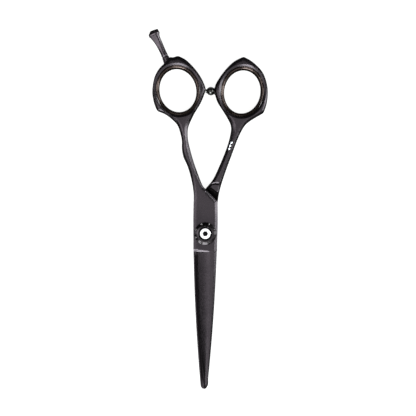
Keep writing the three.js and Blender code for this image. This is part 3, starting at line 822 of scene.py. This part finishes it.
def bumper_pad():
    """Soft ball with a short nose."""
    ball = [(2.05 * math.cos(a), 2.0 * math.sin(a)) for a in np.radians(np.linspace(150, 34, 26))]
    nose = filleted([(-2.36, 0.02), (-2.36, 0.93), (-2.0, 0.93)], [0, 0.16, 0])
    return skin(about_x([*nose, *ball, (1.62, 1.1)], 72))


def bumper_stud():
    """Black collar against the ring, and the pin that holds the ball."""
    collar = filleted([(1.6, 0.7), (1.62, 1.75), (1.93, 1.75), (1.93, 0.72)], [0, 0.1, 0.1, 0], steps=5)
    return skin(about_x([(0.9, 0.68), *collar, (3.9, 0.7)], 64))


def finger_rest():
    """Rod that is round at its foot, waisted, and faceted where it flares to a bevelled end."""
    foot, lean = np.array([-17.5, 79.2]), np.array([-0.38, 0.925])
    points = [foot - 1.5 * lean, (-19.7, 83.9), (-21.3, 87.2), (-23.3, 91.0), (-24.0, 92.9)]
    line = evenly(through(np.array(points), 24), 0.14)
    share = np.linspace(0, 1, len(line))
    radii = [(0, 1.95), (0.15, 1.62), (0.35, 1.42), (0.6, 1.6), (0.85, 2.25), (0.92, 2.6), (1, 2.6)]
    radius = np.interp(share, *through(np.array(radii), 12).T)
    radius -= 0.2 * np.exp(-(((share - 0.215) / 0.014) ** 2))  # the joint groove at its foot
    tangent = np.gradient(line, axis=0)
    tangent /= np.hypot(*tangent.T)[:, None]
    # section of the flare: a broad facet, a groove, a narrow facet that looks to +X
    upper = [(1, 0), (0.98, 0.36), (0.88, 0.55), (0.5, 0.78), (0.37, 0.67), (0.25, 0.86), (-0.84, 0.68)]
    upper.append((-1, 0.4))
    lower = [(x, -z) for x, z in reversed(upper[1:])]
    section = divided(filleted([*upper, (-1.0, 0.0), *lower], 0.05, closed=True), 0.04, closed=True)
    angle = angles(300)
    facet = polar_radius(section, (0, 0), angle)
    rings = []
    for centre, along, r, s in zip(line, tangent, radius, share):
        flare = unit((s - 0.3) / 0.35)
        reach = r * (1 + (facet - 1) * flare)
        across = np.array([along[1], -along[0]])
        bevel = unit((s - 0.91) / 0.09)
        sideways = reach * np.cos(angle) * (1 - np.where(np.cos(angle) < 0, 0.5, 0.1) * bevel)
        plan = centre + np.outer(sideways, across)
        height = STACK / 2 + 0.92 * reach * np.sin(angle) * (1 - 0.45 * bevel)
        rings.append(columns(*plan.T, height))
    last = rings[-1]
    middle, ahead = last.mean(0), np.array([*tangent[-1], 0])
    for scale, depth in ((0.9, 0.0), (0.55, 0.12), (0.2, 0.16)):
        rings.append(middle + (last - middle) * scale - ahead * depth)
    return skin(rings)


def crystal(node):
    """Eight-sided cut stone: a table, a crown, and a point down in its seat."""
    low, high = box_mm(node)
    centre = (low + high) / 2
    angle = angles(8)
    rings = []
    for r, z, turn in ((0.05, 0.0, 0), (0.5, 0.44, 0), (0.5, 0.5, 0), (0.38, 0.56, math.pi / 8)):
        x, y = centre[0] + r * np.cos(angle + turn), centre[1] + r * np.sin(angle + turn)
        rings.append(columns(x, y, low[2] + z))
    return skin(rings)


# ---- materials


class Surface:
    """A principled material with helpers for its procedural parts."""

    def __init__(self, name, **sockets):
        self.material = bpy.data.materials.new(name)
        self.material.use_nodes = True
        self.tree = self.material.node_tree
        self.shader = self.tree.nodes["Principled BSDF"]
        for socket, value in sockets.items():
            self.shader.inputs[socket.replace("_", " ")].default_value = value
        self.place = self.node("TexCoord").outputs["Object"]

    def node(self, kind, *sources, operation=None, **inputs):
        """A new shader node, with links into its first inputs and values for others."""
        node = self.tree.nodes.new("ShaderNode" + kind)
        if operation:
            node.operation = operation
        for source, socket in zip(sources, node.inputs):
            self.link(source, socket)
        for socket, value in inputs.items():
            node.inputs[socket].default_value = value
        return node

    def link(self, source, target):
        self.tree.links.new(source, target)

    def noise(self, scale, detail=3.0, roughness=0.55, source=None):
        """Noise at one scale, or one for each axis, in features per metre."""
        scales = scale if isinstance(scale, tuple) else (scale,) * 3
        place = self.node("Mapping", source or self.place, Scale=scales).outputs[0]
        return self.node("TexNoise", place, Scale=1.0, Detail=detail, Roughness=roughness).outputs["Fac"]

    def turning(self):
        """Fine rings about the pivot axis."""
        flat = self.node("VectorMath", self.place, operation="MULTIPLY")
        flat.inputs[1].default_value = (1, 1, 0)
        radius = self.node("VectorMath", flat.outputs[0], operation="LENGTH").outputs["Value"]
        return self.noise((16000, 1, 1), detail=2, source=self.node("CombineXYZ", radius).outputs[0])

    def attribute(self, name):
        node = self.node("Attribute")
        node.attribute_name = name
        return node.outputs["Fac"]

    def spread(self, source, low, high, to_low=0, to_high=1):
        """A value mapped from one range to another, smoothly."""
        node = self.node("MapRange", source)
        node.interpolation_type = "SMOOTHSTEP"
        for socket, value in zip(node.inputs[1:5], (low, high, to_low, to_high)):
            socket.default_value = value
        return node.outputs[0]

    def times(self, a, b):
        return self.node("Math", a, b, operation="MULTIPLY").outputs[0]

    def blend(self, share, first, second):
        """A colour between two colours, each a value or another node's output."""
        node = self.node("Mix", share)
        node.data_type = "RGBA"
        for socket, value in ((node.inputs[6], first), (node.inputs[7], second)):
            if isinstance(value, tuple):
                socket.default_value = (*value, 1)
            else:
                self.link(value, socket)
        return node.outputs[2]

    def bump(self, source, height_mm, onto=None):
        node = self.node("Bump", Strength=1.0, Distance=height_mm * MM)
        self.link(source, node.inputs["Height"])
        if onto is not None:
            self.link(onto, node.inputs["Normal"])
        return node.outputs["Normal"]

    def finish(self, colour=None, roughness=None, normal=None):
        for source, socket in ((colour, "Base Color"), (roughness, "Roughness"), (normal, "Normal")):
            if source is not None:
                self.link(source, self.shader.inputs[socket])
        return self.material


def coated_steel(name="black_coated_steel", used=True, lightness=1.0):
    """Satin black coating on steel: fine lengthwise grain and a cloudy tone.

    With used set, it is lighter beside its rims, which is rubbed wear, and along the blade's ridge, which is
    a painted highlight; it also carries painted shade, darkest on the rims and in the marked recesses.
    """
    mat = Surface(name, Metallic=1.0, Specular_Tint=(0.08, 0.08, 0.08, 1))
    grain = mat.noise((14000, 500, 14000), detail=2)
    cloud = mat.noise((90, 60, 90), detail=4)
    scuff = mat.noise((1500, 900, 1500), detail=5, roughness=0.7)
    dark = tuple(lightness * c for c in (0.026, 0.0225, 0.026))
    light = tuple(lightness * c for c in (0.036, 0.031, 0.0355))
    tone = mat.blend(mat.spread(cloud, 0.3, 0.7), dark, light)
    if used:
        # lighter where the edge distance is small: rubbed wear beside the rims, a painted highlight along
        # the ridge
        worn_and_painted_highlight = mat.times(
            mat.spread(mat.attribute("edge_distance"), 0.7, 1.3, 1, 0),
            mat.spread(scuff, 0.48, 0.72, 0, 0.35),
        )
        tone = mat.blend(worn_and_painted_highlight, tone, (0.08, 0.074, 0.079))
        # painted shade: the rims themselves go nearly black
        rim = mat.spread(mat.attribute("edge_distance"), 0.1, 0.45, 0.9, 0)
        tone = mat.blend(rim, tone, (0.003, 0.0027, 0.003))
        # painted shade in the marked recesses: the valley by the step and the blade's hollow
        recess = mat.spread(mat.attribute("recess"), 0.0, 0.2)
        tone = mat.blend(recess, tone, (0.0012, 0.001, 0.0011))
    rough = mat.spread(scuff, 0.25, 0.75, 0.24, 0.34)
    grain_mm, scuff_mm = (0.0012, 0.0012) if used else (0.0006, 0.0004)
    return mat.finish(tone, rough, mat.bump(grain, grain_mm, mat.bump(scuff, scuff_mm)))


def dial_finish():
    """Glossy black coating with turning marks round the axis."""
    mat = Surface("dial_black", Metallic=1.0)
    rings = mat.turning()
    cloud = mat.noise(700, detail=4)
    tone = mat.blend(cloud, (0.02, 0.018, 0.02), (0.034, 0.03, 0.033))
    # painted shade from the marks in the seat and on the cone
    tone = mat.blend(mat.attribute("recess"), tone, (0.002, 0.002, 0.002))
    tone = mat.blend(mat.attribute("polish"), tone, (0.13, 0.12, 0.125))
    rough = mat.spread(cloud, 0.3, 0.7, 0.16, 0.24)
    return mat.finish(tone, rough, mat.bump(rings, 0.0015))


def rubber():
    """Smooth dark rubber with a faint brown cast and a fine grain."""
    mat = Surface("rubber", Metallic=0.0, Specular_Tint=(1.0, 0.74, 0.7, 1))
    grain = mat.noise(5000, detail=3)
    cloud = mat.noise(300, detail=3)
    dark, light = (0.003, 0.0022, 0.0019), (0.006, 0.0045, 0.0038)
    tone = mat.blend(mat.spread(cloud, 0.35, 0.65), dark, light)
    rough = mat.spread(cloud, 0.3, 0.7, 0.14, 0.2)
    # painted shade: less sheen where the marks lie, on the wall of the hole and the end that looks to -Y
    shine_less_painted_shade = mat.spread(mat.attribute("recess"), 0, 1, 0.5, 0.0)
    mat.link(shine_less_painted_shade, mat.shader.inputs["Specular IOR Level"])
    return mat.finish(tone, rough, mat.bump(grain, 0.0015))


def clouded(name, scale, detail, tones, rough, bump_mm=0, **sockets):
    """A material whose tone and roughness follow one noise."""
    mat = Surface(name, **sockets)
    cloud = mat.noise(scale, detail)
    normal = mat.bump(cloud, bump_mm) if bump_mm else None
    return mat.finish(mat.blend(cloud, *tones), mat.spread(cloud, 0.3, 0.7, *rough), normal)


def bright_steel(name, colour, low, high, turned=True, recess=False):
    """Bare metal between two roughnesses, with turning or rolling marks."""
    mat = Surface(name, Metallic=1.0)
    marks = mat.turning() if turned else mat.noise((600, 12000, 12000), detail=3)
    cloud = mat.noise(900, detail=3)
    darker = tuple(0.86 * c for c in colour)
    tone = mat.blend(mat.spread(cloud, 0.3, 0.7), darker, colour)
    # painted shade where the piece's recess is marked
    if recess:
        tone = mat.blend(mat.attribute("recess"), tone, (0.006, 0.0055, 0.006))
    rough = mat.spread(marks, 0.2, 0.8, low, high)
    return mat.finish(tone, rough, mat.bump(marks, 0.0008))


def plastic(name, first, second, roughness):
    """Matt plastic between two tones."""
    mat = Surface(name, Metallic=0.0)
    cloud = mat.noise(500, detail=4)
    grain = mat.noise(9000, detail=2)
    tone = mat.blend(mat.spread(cloud, 0.3, 0.7), first, second)
    rough = mat.spread(grain, 0.2, 0.8, roughness - 0.06, roughness + 0.06)
    return mat.finish(tone, rough, mat.bump(grain, 0.002))


STEEL = coated_steel()
SCREW_STEEL = coated_steel("black_screw_steel", used=False)
DIAL = dial_finish()
RUBBER = rubber()
BUMPER_RUBBER = clouded(
    "bumper_rubber", 800, 3, ((0.002, 0.002, 0.002), (0.004, 0.004, 0.004)), (0.06, 0.12), 0.01,
    Metallic=0.0, Specular_IOR_Level=0.5,
)
REST_STEEL = coated_steel("rest_steel", used=False, lightness=2.0)
POLISHED = bright_steel("polished_steel", (0.78, 0.78, 0.8), 0.06, 0.16, recess=True)
SPRING = bright_steel("spring_steel", (0.46, 0.46, 0.48), 0.2, 0.35, turned=False)
BRONZE = bright_steel("bronze", (0.36, 0.21, 0.085), 0.25, 0.4)
PTFE = plastic("ptfe", (0.74, 0.72, 0.68), (0.84, 0.82, 0.78), 0.45)
CRYSTAL = clouded(  # foil-backed glass
    "crystal", 2500, 2, ((0.5, 0.53, 0.6), (0.62, 0.63, 0.66)), (0.2, 0.3),
    Metallic=0.85, Coat_Weight=0.3, Coat_Roughness=0.1,
)


# ---- assembly


def build(name, shape, body, node, material, sharp_angle=32.0):
    """Makes a piece from its shape, and puts it on its body in place of its CAD node."""
    vertices, faces, *marks = shape
    piece = make_object(name, vertices, faces, sharp_angle)
    for key, values in dict(*marks).items():
        mark(piece, key, values)
    piece.data.materials.append(material)
    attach(piece, body)
    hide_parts(node)


FINGER_REST_BORE = ((-17.5, 79.2), (-16.5, 76.8), 1.05)  # start, end, radius
BUMPER_BORE = ((4.0, 65.2), (6.8, 65.2), 0.95)
SLICE_GAP = 0.06  # a half's plan is sliced this far from its inner face
CRYSTALS = (1, 2, 3)

finger = Half("finger_blade_half", UPPER_Z + SLICE_GAP, False, SHAFT_R, FINGER_REST_BORE)
build("finger_half_steel", finger.shape(), "finger_half", "finger_blade_half", STEEL)

seats = []
for i in CRYSTALS:
    low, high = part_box(f"shank_crystal_{i}")
    seats.append((-(low[0] + high[0]) / 2 / MM, (low[1] + high[1]) / 2 / MM))
thumb = Half(
    "thumb_blade_half", STACK - UPPER_Z - SLICE_GAP, True, BUSHING_R, BUMPER_BORE, (WASHER_R, 0.35), seats
)
build("thumb_half_steel", thumb.shape(), "thumb_half", "thumb_blade_half", STEEL)

for side in ("finger", "thumb"):
    node = f"{side}_ring_insert"
    build(f"{side}_ring_rubber", ring_insert(node), f"{side}_half", node, RUBBER)
build("rest_rod", finger_rest(), "finger_half", "finger_rest", REST_STEEL, 24)
build("dial_body", dial_body(), "dial", "tension_dial", DIAL)
build("dial_disc", dial_cap(), "dial", "dial_cap", POLISHED, 20)
build("bumper_ball", bumper_pad(), "thumb_half", "bumper_pad", BUMPER_RUBBER)
build("bumper_collar", bumper_stud(), "thumb_half", "bumper_stud", STEEL)
for i in CRYSTALS:
    node = f"shank_crystal_{i}"
    build(f"shank_stone_{i}", crystal(node), "thumb_half", node, CRYSTAL, 5)

KEPT = {
    "pivot_screw": SCREW_STEEL, "dial_washer": PTFE, "click_spring": SPRING, "pivot_bushing": BRONZE,
    "blade_washer": PTFE, "rear_washer": PTFE,
}
for node, material in KEPT.items():
    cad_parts[node].data.materials.clear()
    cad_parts[node].data.materials.append(material)


# ---- stage, light and camera


def floor():
    size = 2.0
    low = -0.05 * MM  # just clear of the rings' flat faces, which lie at 0
    mesh = bpy.data.meshes.new("floor")
    corners = [(-size, -size, low), (size, -size, low), (size, size, low), (-size, size, low)]
    mesh.from_pydata(corners, [], [(0, 1, 2, 3)])
    surface = Surface("pale_floor", Roughness=0.9, Emission_Color=(1, 1, 1, 1), Emission_Strength=0.92)
    cloud = surface.noise(3)
    mesh.materials.append(surface.finish(surface.blend(cloud, (0.15, 0.15, 0.15), (0.16, 0.16, 0.16))))
    add_object("floor", mesh)


def panel(name, place, target, size, radiance, colour=(1, 1, 1)):
    """A soft rectangular light whose face has the given radiance."""
    light = bpy.data.lights.new(name, "AREA")
    light.shape = "RECTANGLE"
    light.size, light.size_y = size
    light.energy = radiance * math.pi * size[0] * size[1]
    light.color = colour
    lamp = add_object(name, light)
    lamp.location = place
    lamp.rotation_euler = (Vector(target) - Vector(place)).to_track_quat("-Z", "Y").to_euler()


def camera():
    """Straight above the shears, which fill the view from the rest to the blades' tips."""
    data = bpy.data.cameras.new("camera")
    data.lens = 100
    view_width = 0.1905
    centre = Vector((0.00124, 0.0117, 0.003))
    piece = add_object("camera", data)
    piece.location = centre + Vector((0, 0, view_width * data.lens / data.sensor_width))
    bpy.context.scene.camera = piece


def sky(radiance):
    world = bpy.data.worlds.new("world")
    bpy.context.scene.world = world
    world.use_nodes = True
    inputs = world.node_tree.nodes["Background"].inputs
    inputs["Color"].default_value = (1, 1, 1, 1)
    inputs["Strength"].default_value = radiance


DAYLIGHT = (0.93, 1.0, 0.965)

floor()
camera()
sky(0.1)
panel("overhead", (0.05, -0.35, 0.9), (0.05, -0.35, 0), (1.1, 1.1), 1.65)
panel("key", (-0.1, -0.39, 0.36), (0, 0, 0), (0.34, 0.28), 20, DAYLIGHT)
panel("right", (0.33, 0.045, 0.27), (0, 0.045, 0), (0.16, 0.16), 13, DAYLIGHT)
panel("low_right", (0.4, 0.075, 0.1), (0.02, 0.06, 0), (0.12, 0.2), 12, DAYLIGHT)
panel("far_right", (0.313, 0.23, 0.27), (-0.022, 0.09, 0), (0.08, 0.08), 25, DAYLIGHT)
panel("left", (-0.25, 0.04, 0.4), (0, 0.035, 0), (0.12, 0.3), 4)
bpy.context.scene.view_settings.view_transform = "Standard"
